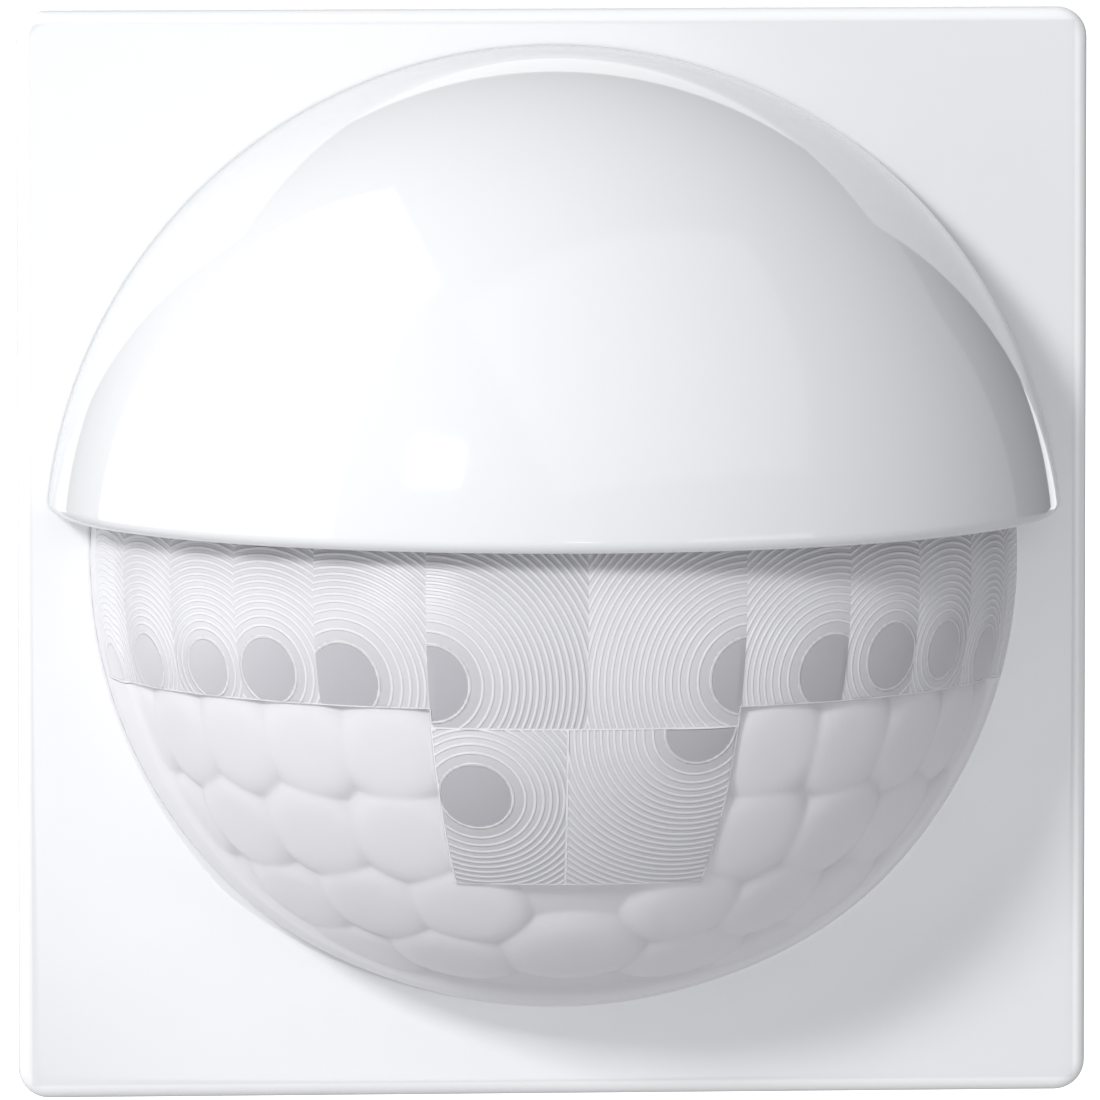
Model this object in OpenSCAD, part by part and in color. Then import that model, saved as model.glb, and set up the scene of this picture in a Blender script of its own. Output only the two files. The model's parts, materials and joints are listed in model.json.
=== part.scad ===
// Flush-mounted passive infrared motion sensor.
// A plug-in sensor module (square plate, ball head, lens, hood) sits on an insert
// that holds the power electronics, the wire terminals and the spreading claws.
//
// Local frame of every module: x to the right, y up, z out of the wall.
// to_wall() turns that into the part's own frame: +Z up and -Y out of the wall.
// The origin is the centre of the support ring's rear face, which lies on the wall.
// All sizes are in millimetres.

/* [Cover plate] */
// Width of the cover plate
plate_w = 70.5; // [70:0.1:90]
// Height of the cover plate
plate_h = 71.7; // [70:0.1:90]
// Corner radius of the cover plate
plate_corner_r = 2.0; // [1.8:0.1:5]
// Chamfer along the front edge of the cover plate
plate_chamfer = 0.8; // [0.2:0.1:1.2]
// Thickness of the plate's face
plate_face_t = 1.6; // [1.2:0.1:2.4]
// Thickness of the plate's skirt
plate_wall = 1.6; // [1.2:0.1:2.4]
// Depth of the skirt from its rear edge to the front face
skirt_depth = 9.8; // [9:0.1:14]
// Height of the skirt's rear edge above the wall
skirt_rear = 2.5; // [2.5:0.1:4]

/* [Ball head] */
// Outer radius of the lens dome
lens_r = 30.5; // [27:0.1:30.6]
// Wall of the lens dome
lens_t = 0.9; // [0.6:0.1:1.4]
// Height of the lens's upper edge above the ball's centre
lens_top = 4.0; // [3.4:0.1:6]
// Wall of the opaque upper ball
head_t = 1.6; // [1.2:0.1:2.2]
// Outer radius of the hood
hood_r = 33.6; // [33.2:0.1:34.4]
// Wall of the hood
hood_t = 2.2; // [1.6:0.1:2.4]
// Height of the hood's lower edge above the ball's centre
hood_edge = 2.8; // [1:0.1:3.2]

/* [Adjusters] */
// Distance between neighbouring dials
dial_pitch = 10; // [8:0.5:10.5]
// Radius of a dial
dial_r = 3.2; // [2.4:0.1:3.6]
// Radius of a dial's shaft
shaft_r = 1.25; // [1:0.05:1.5]
// Height of the dials above the ball's centre
dial_y = 15; // [14:0.5:16]

/* [Support ring] */
// Outer size of the square support ring
ring_size = 68; // [68:0.5:69]
// Thickness of the ring's sheet steel
ring_t = 1.0; // [0.8:0.1:1.2]
// Spacing of the wall box screws
box_spacing = 60; // [58:0.5:60]
// Length of a box screw slot
slot_length = 6.2; // [5:0.1:6.4]
// Radius of a box screw slot
slot_r = 1.9; // [1.6:0.1:2.1]

/* [Insert] */
// Width of the insert's cup
cup_w = 42; // [42:0.5:43]
// Height of the insert's cup
cup_h = 43.6; // [43:0.1:44]
// Depth of the insert behind the wall plane
cup_depth = 30; // [29:0.5:40]
// Wall of the cup
cup_wall = 1.5; // [1.2:0.1:1.8]
// Radius of a wire entry
wire_r = 1.6; // [1.3:0.1:2]
// Distance between neighbouring terminals
terminal_pitch = 8.8; // [8:0.1:8.8]

/* [Claws] */
// Distance of each claw screw from the middle
claw_x = 24.4; // [24.2:0.1:24.8]
// Radius of a claw screw's thread
claw_screw_r = 1.5; // [1.25:0.05:1.6]
// Travel of a claw nut along its screw
claw_travel = 4; // [2:0.5:4]

/* [Hidden] */

$fn = 64;
eps = 0.01;          // overlap that makes a cut clean
seat_gap = 0.1;      // gap between stacked fixed pieces
slide_gap = 0.3;     // gap around pieces that slide past each other
run_gap = 0.05;      // radial clearance of a shaft in its bore

// Heights above the wall, from the wall outwards
plate_front = skirt_rear + skirt_depth;
face_rear = plate_front - plate_face_t;
lens_flange_t = 1.0;
lens_flange_z = face_rear - seat_gap - lens_flange_t;
head_ring_t = 1.2;
head_ring_z = lens_flange_z - seat_gap - head_ring_t;
board_t = 1.6;
board_z = head_ring_z - seat_gap - board_t;
board_front = board_z + board_t;
back_t = 1.2;
back_z = 3.2;
back_front = back_z + back_t;

// Ball head
head_gap = 0.3;
flange_reach = 2.1;
head_r = lens_r - 0.1;
head_inner_r = head_r - head_t;
shelf_t = 1.2;
shelf_y = lens_top + 0.2;
hood_inner_r = hood_r - hood_t;
peg_r = hood_t * 0.4;
peg_ring_r = hood_r - hood_t / 2;
peg_angles = [12, 90, 168];
board_r = lens_r - 0.5;

// Dial recess in the upper ball
recess_margin = 1.8;
recess_wall = 1.5;
recess_floor_z = plate_front + 14;
recess_half_w = dial_pitch + dial_r + recess_margin;
recess_half_h = dial_r + recess_margin - 0.5;
dial_t = 1.8;
dial_z = recess_floor_z + slide_gap;
dial_slot = [4.6, 0.8, 0.7];
trimmer_size = [6.6, 6.6, 5];
trimmer_bore = 4;

// Sensors on the board
holder_y = -3;
holder_h = 11;
holder_half_w = 10.4;
holder_rise = 7.3;
roof_angle = atan(holder_rise / holder_half_w);
can_r = 4.55;
can_rim_r = 4.95;
can_h = 3.6;
window_size = [5.6, 4.2, 0.5];
led_r = 1.5;
led_h = 3.4;
led_at = [9, -16];
small_cap_r = 2.6;
small_cap_h = 5.2;
small_cap_at = [17, -7];
chip_size = [7, 7, 1.2];
chip_at = [14, 8];

// Link between module and insert
link_columns = 5;
link_rows = 2;
link_pitch = 2.54;
pin_side = 0.6;
pin_hole = 0.9;
header_size = [13.4, 5.6];
header_rear = 2.6;
socket_front = header_rear - 0.2;
pin_rear = -5.0;

// Module back
back_gap = 0.3;
back_wall = 1.2;
boss_inset = 8.2;
boss_r = 2.6;
back_screw_r = 1.1;
back_screw_l = 5.6;
back_head_r = 2.0;
back_head_t = 1.0;
post_r = 1.8;
post_at = 17;
leg_size = [4, 1.6];
leg_at = [12, 25.3];
leg_depth = 3;

// Support ring
opening_w = cup_w + 2;
tab_t = 1.0;
tab_w = 12;
tab_gap = 0.2;
opening_h = cup_h + 2 * (tab_gap + tab_t);
tab_depth = 8;
ring_corner_r = 3;
rivet_r = 1.1;
rivet_head_r = 1.7;
rivet_head_t = 0.8;
rivet_z = -4.2;

// Insert
cover_t = 1.5;
cover_front = -0.3;
cup_rim = cover_front - cover_t;
cup_corner_r = 5;
power_board_front = -6.0;
power_board_z = power_board_front - board_t;
parts_z = power_board_z - seat_gap;
cup_floor = -cup_depth + cup_wall;
cover_screw_at = [cup_w / 2 - 4.8, cup_h / 2 - 4.6];
cover_boss_r = 2.4;
cover_screw_r = 1.0;
cover_screw_l = 7;
cover_head_r = 1.8;
cover_head_t = 0.8;

// Terminals: a wire entry below and a release button above, on the insert's rear face
terminal_names = ["live", "neutral", "load", "remote"];
terminal_w = terminal_pitch - 0.4;
terminal_h = 12;
terminal_y = -cup_h / 2 + cup_wall + 0.4;
entry_y = terminal_y + 3.8;
entry_depth = 10.5;
button_y = terminal_y + 8.9;
button_size = [4, 3.4];
button_out = 1.0;
button_travel = 1.5;
button_l = 9;
cavity_half_w = 2.6;
cavity_half_h = 2.4;
contact_t = 0.7;
cage_half_h = cavity_half_h - seat_gap;
cage_w = 2 * cavity_half_w - 0.6;
cage_top = parts_z - 0.2;
cage_foot = -cup_depth + entry_depth + 0.4;
spring_t = 0.3;
spring_w = 3.6;

// Claws
claw_y = -6;
claw_screw_l = claw_travel + 18;
claw_head_r = 2.7;
claw_head_t = 1.6;
nut_side = 4.6;
nut_t = 2.4;
nut_z = -(claw_travel + 14);
claw_sheet = 1.0;
claw_reach = 13;
claw_tail = 2.2;
tooth = 0.9;
pivot_r = 0.9;
pivot_l = nut_side + 2 * claw_sheet;

// ---- helpers ----

module to_wall() { rotate([90, 0, 0]) children(); }

module mirrored() {
  children();
  mirror([1, 0, 0]) children();
}

module at_corners(x, y) {
  for (sx = [-1, 1], sy = [-1, 1]) translate([sx * x, sy * y, 0]) children();
}

// Rectangle with round corners, centred
module round_rect(w, h, r) {
  square([w - 2 * r, h], center = true);
  square([w, h - 2 * r], center = true);
  for (sx = [-1, 1], sy = [-1, 1])
    translate([sx * (w / 2 - r), sy * (h / 2 - r)]) circle(r);
}

// Upright slab with round corners, from z to z + t
module round_slab(w, h, r, z, t) {
  translate([0, 0, z]) linear_extrude(t) round_rect(w, h, r);
}

// Rectangular block, centred on x and y, from z to z + t
module block(w, h, z, t) {
  translate([-w / 2, -h / 2, z]) cube([w, h, t]);
}

module rod(r, z, l) {
  translate([0, 0, z]) cylinder(r = r, h = l);
}

// Slot of round ends that runs along x
module slot(length, r, z, t) {
  block(length - 2 * r, 2 * r, z, t);
  for (s = [-1, 1]) translate([s * (length / 2 - r), 0, 0]) rod(r, z, t);
}

// Slab with round corners whose outline draws in by c over its height c
module bevel_slab(w, h, r, z, c) {
  translate([0, 0, z]) {
    at_corners(w / 2 - r, h / 2 - r) cylinder(r1 = r, r2 = r - c, h = c);
    rotate([90, 0, 90]) translate([0, 0, r - w / 2]) linear_extrude(w - 2 * r) bevel_section(h, c);
    rotate([90, 0, 0]) translate([0, 0, r - h / 2]) linear_extrude(h - 2 * r) bevel_section(w, c);
  }
}

module bevel_section(w, c) {
  polygon([[-w / 2, 0], [w / 2, 0], [w / 2 - c, c], [c - w / 2, c]]);
}

// Pan-head screw: head above z = 0, shank below it over l, cross drive in the head
module screw(shank_r, l, head_r, head_t, drive) {
  difference() {
    union() {
      rod(shank_r, -l, l + eps);
      rod(head_r, 0, head_t);
    }
    for (a = [0, 90]) rotate(a) block(head_r * 1.3, drive, head_t - 0.6, 1);
  }
}

module upper_half(y) {
  translate([-hood_r * 2, y, -hood_r]) cube([hood_r * 4, hood_r * 2, hood_r * 4]);
}

module lower_half(y) {
  translate([-hood_r * 2, y - hood_r * 2, -hood_r]) cube([hood_r * 4, hood_r * 2, hood_r * 4]);
}

// ---- sensor module ----

module cover_plate() {
  inner_r = max(plate_corner_r - plate_wall, 0.4);
  color("white") to_wall() difference() {
    union() {
      difference() {
        union() {
          round_slab(plate_w, plate_h, plate_corner_r, skirt_rear, skirt_depth - plate_chamfer);
          bevel_slab(plate_w, plate_h, plate_corner_r, plate_front - plate_chamfer, plate_chamfer);
        }
        round_slab(plate_w - 2 * plate_wall, plate_h - 2 * plate_wall, inner_r,
                   skirt_rear - 1, face_rear - skirt_rear + 1);
      }
      at_corners(plate_w / 2 - boss_inset, plate_h / 2 - boss_inset)
        rod(boss_r, back_front + seat_gap, face_rear - back_front - seat_gap + eps);
    }
    rod(lens_r + head_gap, face_rear - 1, plate_face_t + 2);
    at_corners(plate_w / 2 - boss_inset, plate_h / 2 - boss_inset)
      rod(back_screw_r + run_gap, back_front, back_screw_l - back_t + 0.4);
    for (a = peg_angles) rotate(a) translate([peg_ring_r, 0, 0])
      rod(peg_r + run_gap, face_rear - 1, plate_face_t + 2);
  }
}

module hood() {
  color("white") to_wall() {
    difference() {
      translate([0, 0, plate_front]) difference() {
        sphere(hood_r);
        sphere(hood_inner_r);
      }
      lower_half(hood_edge);
      translate([0, 0, plate_front + seat_gap - hood_r * 2])
        block(hood_r * 4, hood_r * 4, 0, hood_r * 2);
    }
    for (a = peg_angles) rotate(a) translate([peg_ring_r, 0, 0])
      rod(peg_r, face_rear + seat_gap, plate_face_t + 0.4);
  }
}

module lens_dome() {
  color("gainsboro") to_wall() difference() {
    union() {
      translate([0, 0, plate_front]) sphere(lens_r);
      rod(lens_r, lens_flange_z, plate_front - lens_flange_z);
      rod(lens_r + flange_reach, lens_flange_z, lens_flange_t);
    }
    translate([0, 0, plate_front]) sphere(lens_r - lens_t);
    rod(lens_r - lens_t, lens_flange_z - lens_r, lens_r + plate_front - lens_flange_z);
    translate([0, 0, lens_flange_z - lens_r * 2]) block(lens_r * 4, lens_r * 4, 0, lens_r * 2);
    upper_half(lens_top);
  }
}

module head_frame() {
  recess = [2 * recess_half_w, 2 * recess_half_h];
  color("whitesmoke") to_wall() difference() {
    union() {
      difference() {
        union() {
          translate([0, 0, plate_front]) sphere(head_r);
          rod(head_r, head_ring_z, plate_front - head_ring_z);
        }
        difference() {
          union() {
            translate([0, 0, plate_front]) sphere(head_inner_r);
            rod(head_inner_r, head_ring_z - 1, plate_front - head_ring_z + 1);
          }
          translate([-head_r, shelf_y, head_ring_z]) cube([2 * head_r, shelf_t, 3 * head_r]);
          translate([0, dial_y, 0])
            block(recess[0] + 2 * recess_wall, recess[1] + 2 * recess_wall,
                  recess_floor_z - recess_wall, head_r);
        }
        lower_half(shelf_y);
        translate([0, 0, head_ring_z - head_r * 2]) block(head_r * 4, head_r * 4, 0, head_r * 2);
      }
      difference() {
        rod(lens_r + flange_reach, head_ring_z, head_ring_t);
        rod(board_r - 2.6, head_ring_z - 1, head_ring_t + 2);
      }
    }
    translate([0, dial_y, 0]) block(recess[0], recess[1], recess_floor_z, 2 * head_r);
    for (i = [-1, 0, 1]) translate([i * dial_pitch, dial_y, 0])
      rod(shaft_r + run_gap, recess_floor_z - recess_wall - 1, recess_wall + 2);
  }
}

module sensor_board() {
  color("seagreen") to_wall() difference() {
    rod(board_r, board_z, board_t);
    at_corners(post_at, post_at) rod(0.9, board_z - 1, board_t + 2);
  }
}

module sensor_holder() {
  color("dimgray") to_wall()
    translate([0, holder_y + holder_h / 2, board_front + seat_gap]) rotate([90, 0, 0])
      linear_extrude(holder_h)
        polygon([[-holder_half_w, 0], [holder_half_w, 0], [0, holder_rise]]);
}

// Stands children on the right-hand roof face of the sensor holder
module on_roof() {
  translate([holder_half_w / 2, holder_y, board_front + seat_gap + holder_rise / 2])
    rotate([0, roof_angle, 0]) translate([0, 0, seat_gap]) children();
}

module pyro_can() {
  difference() {
    union() {
      rod(can_rim_r, 0, 0.5);
      rod(can_r, 0, can_h);
    }
    block(window_size[0] + 0.2, window_size[1] + 0.2, can_h - window_size[2], 1);
  }
}

module pyro_sensor_right() { color("silver") to_wall() on_roof() pyro_can(); }

module pyro_sensor_left() { color("silver") to_wall() mirror([1, 0, 0]) on_roof() pyro_can(); }

module pyro_windows() {
  color("darkslategray") to_wall() mirrored() on_roof()
    block(window_size[0], window_size[1], can_h - window_size[2] + 0.05, window_size[2]);
}

// Round-nosed diode on the board
module diode() {
  rod(led_r + 0.4, board_front + seat_gap, 0.8);
  rod(led_r, board_front + seat_gap, led_h);
  translate([0, 0, board_front + seat_gap + led_h]) sphere(led_r);
}

module status_led() { color("red") to_wall() translate([-led_at[0], led_at[1], 0]) diode(); }

module light_sensor() { color("lightcyan") to_wall() translate([led_at[0], led_at[1], 0]) diode(); }

module board_capacitors() {
  color("silver") to_wall() for (s = [-1, 1])
    translate([s * small_cap_at[0], small_cap_at[1], 0]) {
      rod(small_cap_r, board_front + seat_gap + 0.6, small_cap_h - 0.6);
      block(2 * small_cap_r, 2 * small_cap_r, board_front + seat_gap, 0.6);
    }
}

module controller_chip() {
  color("black") to_wall() translate([chip_at[0], chip_at[1], 0])
    block(chip_size[0], chip_size[1], board_z - seat_gap - chip_size[2], chip_size[2]);
}

module trimmer(column) {
  color("royalblue") to_wall() translate([column * dial_pitch, dial_y, board_front + seat_gap])
    difference() {
      block(trimmer_size[0], trimmer_size[1], 0, trimmer_size[2]);
      rod(shaft_r + run_gap, trimmer_size[2] - trimmer_bore, trimmer_bore + 1);
    }
}

module range_trimmer() { trimmer(-1); }
module light_trimmer() { trimmer(0); }
module time_trimmer() { trimmer(1); }

module dial(column) {
  foot = board_front + seat_gap + trimmer_size[2] - trimmer_bore + seat_gap;
  color("orange") to_wall() translate([column * dial_pitch, dial_y, 0]) difference() {
    union() {
      rod(dial_r, dial_z, dial_t);
      rod(shaft_r, foot, dial_z - foot + eps);
    }
    block(dial_slot[0], dial_slot[1], dial_z + dial_t - dial_slot[2], 1);
  }
}

module range_dial() { dial(-1); }
module light_dial() { dial(0); }
module time_dial() { dial(1); }

// One child at each place of the link's pin grid
module at_pins() {
  for (i = [0 : link_columns - 1], j = [0 : link_rows - 1])
    translate([(i - (link_columns - 1) / 2) * link_pitch,
               (j - (link_rows - 1) / 2) * link_pitch, 0]) children();
}

module link_header() {
  color("black") to_wall() difference() {
    block(header_size[0], header_size[1], header_rear, board_z - seat_gap - header_rear);
    at_pins() block(pin_hole, pin_hole, header_rear - 1, board_z);
  }
}

module link_pins() {
  color("gold") to_wall() at_pins()
    block(pin_side, pin_side, pin_rear, board_z - seat_gap / 2 - pin_rear);
}

module module_back() {
  w = plate_w - 2 * plate_wall - 2 * back_gap;
  h = plate_h - 2 * plate_wall - 2 * back_gap;
  color("lightgray") to_wall() {
    difference() {
      round_slab(w, h, 1, back_z, head_ring_z - slide_gap - back_z);
      round_slab(w - 2 * back_wall, h - 2 * back_wall, 0.5, back_front, plate_front);
      at_corners(plate_w / 2 - boss_inset, plate_h / 2 - boss_inset)
        rod(back_screw_r + run_gap, back_z - 1, back_t + 2);
      block(header_size[0] + 2 * slide_gap, header_size[1] + 2 * slide_gap, back_z - 1, back_t + 2);
    }
    at_corners(post_at, post_at) rod(post_r, back_front - eps, board_z - seat_gap - back_front);
    at_corners(leg_at[0], leg_at[1]) block(leg_size[0], leg_size[1], -leg_depth, back_z + leg_depth + eps);
  }
}

module back_screws() {
  color("silver") to_wall() at_corners(plate_w / 2 - boss_inset, plate_h / 2 - boss_inset)
    translate([0, 0, back_z]) mirror([0, 0, 1])
      screw(back_screw_r, back_screw_l, back_head_r, back_head_t, 0.6);
}

// ---- insert ----

module support_ring() {
  color("silver") to_wall() {
    difference() {
      round_slab(ring_size, ring_size, ring_corner_r, 0, ring_t);
      block(opening_w, opening_h, -1, ring_t + 2);
      for (a = [0 : 90 : 270]) rotate(a) translate([box_spacing / 2, 0, 0])
        slot(slot_length, slot_r, -1, ring_t + 2);
      at_corners(leg_at[0], leg_at[1])
        block(leg_size[0] + 2 * slide_gap, leg_size[1] + 2 * slide_gap, -1, ring_t + 2);
      for (s = [-1, 1]) translate([s * claw_x, claw_y, 0])
        rod(claw_screw_r + run_gap, -1, ring_t + 2);
    }
    for (s = [-1, 1]) difference() {
      translate([0, s * (opening_h - tab_t) / 2, 0]) block(tab_w, tab_t, -tab_depth, tab_depth + ring_t);
      translate([0, 0, rivet_z]) rotate([90, 0, 0])
        translate([0, 0, -opening_h]) rod(rivet_r + run_gap, 0, 2 * opening_h);
    }
  }
}

module ring_rivets() {
  inner = cup_h / 2 - cup_wall;
  color("lightgray") to_wall() for (s = [0, 180]) rotate(s)
    translate([0, 0, rivet_z]) rotate([-90, 0, 0]) {
      rod(rivet_r, inner, opening_h / 2 - inner);
      rod(rivet_head_r, opening_h / 2, rivet_head_t);
    }
}

// Places of the four terminals along x
function terminal_x(i) = (i - 1.5) * terminal_pitch;

module insert_cup() {
  window_w = 4 * terminal_pitch + 0.4;
  color("gray") to_wall() difference() {
    union() {
      difference() {
        round_slab(cup_w, cup_h, cup_corner_r, -cup_depth, cup_rim + cup_depth);
        round_slab(cup_w - 2 * cup_wall, cup_h - 2 * cup_wall, cup_corner_r - cup_wall, cup_floor, cup_depth);
      }
      for (s = [-1, 1]) translate([s * cover_screw_at[0], cover_screw_at[1], 0])
        rod(cover_boss_r, cup_floor - eps, cup_rim - cup_floor);
    }
    translate([0, terminal_y + terminal_h / 2, 0])
      block(window_w, terminal_h + 0.4, -cup_depth - 1, cup_wall + 2);
    for (s = [-1, 1]) translate([s * cover_screw_at[0], cover_screw_at[1], 0])
      rod(cover_screw_r + run_gap, cup_rim - cover_screw_l, cover_screw_l + 1);
    translate([0, 0, rivet_z]) rotate([90, 0, 0])
      translate([0, 0, -opening_h]) rod(rivet_r + run_gap, 0, 2 * opening_h);
  }
}

module insert_cover() {
  color("gray") to_wall() difference() {
    round_slab(cup_w, cup_h, cup_corner_r, cup_rim + seat_gap, cover_t - seat_gap);
    block(header_size[0] + 0.4, header_size[1] + 0.4, cup_rim - 1, cover_t + 2);
    for (s = [-1, 1]) translate([s * cover_screw_at[0], cover_screw_at[1], 0])
      rod(cover_screw_r + run_gap, cup_rim - 1, cover_t + 2);
  }
}

module cover_screws() {
  color("silver") to_wall() for (s = [-1, 1])
    translate([s * cover_screw_at[0], cover_screw_at[1], cover_front])
      screw(cover_screw_r, cover_screw_l, cover_head_r, cover_head_t, 0.5);
}

module power_board() {
  w = cup_w - 2 * cup_wall - 0.6;
  h = cup_h - 2 * cup_wall - 0.6;
  notch = cover_boss_r + slide_gap;
  color("seagreen") to_wall() difference() {
    round_slab(w, h, cup_corner_r - cup_wall - 0.3, power_board_z, board_t);
    mirrored() translate([cover_screw_at[0], cover_screw_at[1], power_board_z - 1]) {
      rod(notch, 0, board_t + 2);
      translate([-notch, 0, 0]) cube([w, h, board_t + 2]);
      translate([0, -notch, 0]) cube([w, h, board_t + 2]);
    }
  }
}

module relay() {
  color("black") to_wall() translate([-8.6, 3.6, 0]) block(19, 15.4, parts_z - 15.5, 15.5);
}

module film_capacitor() {
  color("goldenrod") to_wall() translate([5.2, 3.6, 0]) block(6.6, 15.4, parts_z - 12, 12);
}

module smoothing_capacitor() {
  color("navy") to_wall() translate([14.2, 6.2, 0]) rod(4.2, parts_z - 12, 12);
}

module varistor() {
  color("cornflowerblue") to_wall() translate([14.2, -1.6, parts_z - 4]) rotate([90, 0, 0])
    rod(4, -1.6, 3.2);
}

module fuse() {
  color("tan") to_wall() translate([-5.5, 16, parts_z - 2.4]) rotate([0, 90, 0]) {
    rod(2.1, -5, 10);
    for (s = [-5.6, 5]) rod(2.4, s, 0.6);
  }
}

module rectifier() {
  color("black") to_wall() translate([7.5, 16.2, 0]) block(8, 6, parts_z - 3, 3);
}

module choke() {
  color("darkred") to_wall() translate([-8, -6, parts_z - 1.6]) rotate([0, 90, 0]) {
    rod(1.6, -4.5, 9);
    for (s = [-5, 4.5]) rod(1.3, s, 0.5);
  }
}

module link_socket() {
  color("black") to_wall() difference() {
    block(header_size[0], header_size[1], power_board_front + seat_gap,
          socket_front - power_board_front - seat_gap);
    at_pins() block(pin_hole, pin_hole, pin_rear - 0.5, socket_front - pin_rear + 2);
  }
}

module terminal(i) {
  color("whitesmoke") to_wall() translate([terminal_x(i), 0, 0]) difference() {
    translate([0, terminal_y + terminal_h / 2, 0])
      block(terminal_w, terminal_h, -cup_depth, cup_depth + parts_z);
    translate([0, entry_y, 0]) rod(wire_r, -cup_depth - 1, entry_depth + 1);
    translate([0, entry_y, 0])
      block(2 * cavity_half_w, 2 * cavity_half_h, -cup_depth + entry_depth - eps, cup_depth);
    translate([0, button_y, 0])
      block(button_size[0] + slide_gap, button_size[1] + slide_gap, -cup_depth - 1,
            1 + button_l - button_out + button_travel + 0.2);
  }
}

module terminal_live() { terminal(0); }
module terminal_neutral() { terminal(1); }
module terminal_load() { terminal(2); }
module terminal_remote() { terminal(3); }

// U-shaped clamp cage behind each wire entry
module terminal_contacts() {
  color("gold") to_wall() for (i = [0 : 3]) translate([terminal_x(i), entry_y, 0]) {
    for (s = [-1, 1]) translate([0, s * (cage_half_h - contact_t / 2), 0])
      block(cage_w, contact_t, cage_foot, cage_top - cage_foot);
    block(cage_w, 2 * cage_half_h, cage_top - contact_t, contact_t);
  }
}

// Bent leaf in each cage that presses the bared wire against the cage
module terminal_springs() {
  half = cage_half_h - contact_t - 0.05;
  top = cage_top - contact_t - 0.05;
  color("silver") to_wall() for (i = [0 : 3]) translate([terminal_x(i), entry_y, 0])
    rotate([90, 0, 90]) translate([0, 0, -spring_w / 2]) linear_extrude(spring_w)
      polygon([[half - spring_t, top - 6], [half, top - 6], [half, top], [-half, top],
               [-half, top - spring_t], [half - 3 * spring_t, top - spring_t - 4.5],
               [half - 2 * spring_t, top - spring_t - 4.2], [-half + 2.2 * spring_t, top - spring_t],
               [half - spring_t, top - spring_t]]);
}

module release_button(i) {
  color("darkorange") to_wall() translate([terminal_x(i), button_y, 0])
    block(button_size[0], button_size[1], -cup_depth - button_out, button_l);
}

module release_button_live() { release_button(0); }
module release_button_neutral() { release_button(1); }
module release_button_load() { release_button(2); }
module release_button_remote() { release_button(3); }

// ---- claws, drawn on the right and mirrored to the left ----

module on_right() { translate([claw_x, claw_y, 0]) children(); }

module on_left() { translate([-claw_x, claw_y, 0]) mirror([1, 0, 0]) children(); }

module claw_screw() {
  translate([0, 0, ring_t]) screw(claw_screw_r, claw_screw_l, claw_head_r, claw_head_t, 0.8);
}

// Round pin across the nut that the claw swings on
module claw_pivot(r, l) {
  translate([0, 0, nut_z]) rotate([90, 0, 0]) rod(r, -l / 2, l);
}

module claw_nut() {
  difference() {
    union() {
      block(nut_side, nut_side, nut_z - nut_t / 2, nut_t);
      claw_pivot(pivot_r, pivot_l);
    }
    rod(claw_screw_r + run_gap, nut_z - nut_t, 2 * nut_t);
  }
}

// Bent channel that straddles the nut and ends in two teeth
module claw() {
  arm_in = nut_side / 2 + seat_gap;
  web_x = nut_side / 2 + 0.2;
  difference() {
    translate([0, 0, nut_z]) for (s = [-1, 1])
      translate([-nut_side / 2, s * (arm_in + claw_sheet / 2) - claw_sheet / 2, -claw_tail])
        cube([nut_side + 0.2 + claw_sheet, claw_sheet, claw_tail + claw_reach - 4]);
    claw_pivot(pivot_r + run_gap, 2 * pivot_l);
  }
  translate([0, 0, nut_z]) {
    translate([web_x, -arm_in - claw_sheet, -claw_tail])
      cube([claw_sheet, 2 * (arm_in + claw_sheet), claw_tail + claw_reach]);
    for (s = [-1, 1]) translate([web_x, s * (arm_in + claw_sheet - 0.8), claw_reach - 3])
      rotate([90, 0, 0]) translate([0, 0, -0.8]) linear_extrude(1.6)
        polygon([[0.5, 0], [claw_sheet, 0], [claw_sheet + tooth, 3], [0.5, 3]]);
  }
}

module claw_screw_right() { color("silver") to_wall() on_right() claw_screw(); }
module claw_screw_left() { color("silver") to_wall() on_left() claw_screw(); }
module claw_nut_right() { color("gold") to_wall() on_right() claw_nut(); }
module claw_nut_left() { color("gold") to_wall() on_left() claw_nut(); }
module claw_right() { color("gray") to_wall() on_right() claw(); }
module claw_left() { color("gray") to_wall() on_left() claw(); }

cover_plate();
hood();
lens_dome();
head_frame();
sensor_board();
sensor_holder();
pyro_sensor_left();
pyro_sensor_right();
pyro_windows();
status_led();
light_sensor();
board_capacitors();
controller_chip();
range_trimmer();
light_trimmer();
time_trimmer();
range_dial();
light_dial();
time_dial();
link_header();
link_pins();
module_back();
back_screws();
support_ring();
ring_rivets();
insert_cup();
insert_cover();
cover_screws();
power_board();
relay();
film_capacitor();
smoothing_capacitor();
varistor();
fuse();
rectifier();
choke();
link_socket();
terminal_live();
terminal_neutral();
terminal_load();
terminal_remote();
terminal_contacts();
terminal_springs();
release_button_live();
release_button_neutral();
release_button_load();
release_button_remote();
claw_screw_left();
claw_screw_right();
claw_nut_left();
claw_nut_right();
claw_left();
claw_right();
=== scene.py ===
import json
import math

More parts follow.
